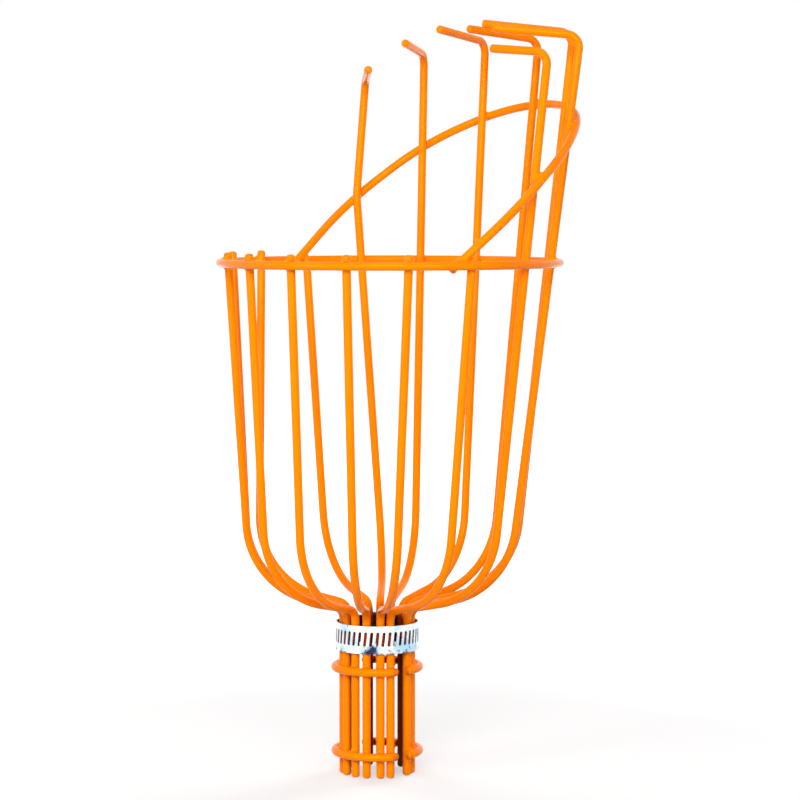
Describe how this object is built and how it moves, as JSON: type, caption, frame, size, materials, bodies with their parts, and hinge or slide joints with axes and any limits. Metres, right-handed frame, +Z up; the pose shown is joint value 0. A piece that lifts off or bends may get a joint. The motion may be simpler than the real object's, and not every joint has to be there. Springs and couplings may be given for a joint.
{
  "type": "fruit picker",
  "caption": "Powder-coated wire fruit picker head: a basket with hooked fingers, a rim ring and a guard hoop, on a bar socket that a worm-drive band clamp tightens on to a pole.",
  "frame": {"origin": "on the pole's line, level with the open lower end of the socket's bars", "axes": "+Z up along the pole's line into the basket, +Y towards the middle of the row of tall fingers, -Y towards the low open side where fruit goes in, +X completes a right-handed set"},
  "size_m": [0.159, 0.167, 0.3445],
  "materials": {
    "coated_wire": "semi-gloss orange powder coat over welded steel wire",
    "clamp_strip": "bright zinc-plated steel strip",
    "clamp_screw": "zinc-plated steel worm screw"
  },
  "bodies": {
    "basket": {"finger_wire_1": "coated_wire", "finger_wire_2": "coated_wire", "finger_wire_3": "coated_wire", "finger_wire_4": "coated_wire", "finger_wire_5": "coated_wire", "finger_wire_6": "coated_wire", "finger_wire_7": "coated_wire", "basket_wire_1": "coated_wire", "basket_wire_2": "coated_wire", "basket_wire_3": "coated_wire", "basket_wire_4": "coated_wire", "basket_wire_5": "coated_wire", "basket_wire_6": "coated_wire", "basket_wire_7": "coated_wire", "basket_wire_8": "coated_wire", "basket_wire_9": "coated_wire", "guard_hoop": "coated_wire", "rim_ring": "coated_wire", "upper_collar_finger_half": "coated_wire", "upper_collar_basket_half": "coated_wire", "lower_collar_finger_half": "coated_wire", "lower_collar_basket_half": "coated_wire"},
    "clamp": {"clamp_band": "clamp_strip", "clamp_saddle": "clamp_strip", "clamp_housing": "clamp_strip"},
    "screw": {"clamp_screw": "clamp_screw"}
  },
  "joints": [
    {"name": "clamp_swivel", "type": "hinge", "parent": "basket", "child": "clamp", "pos_m": [0, 0, 0.06375], "axis": [0, 0, 1], "continuous": true},
    {"name": "screw_turn", "type": "hinge", "parent": "clamp", "child": "screw", "pos_m": [-0.0199, 0.01342, 0.06375], "axis": [-0.5592, -0.829, 0], "continuous": true}
  ]
}
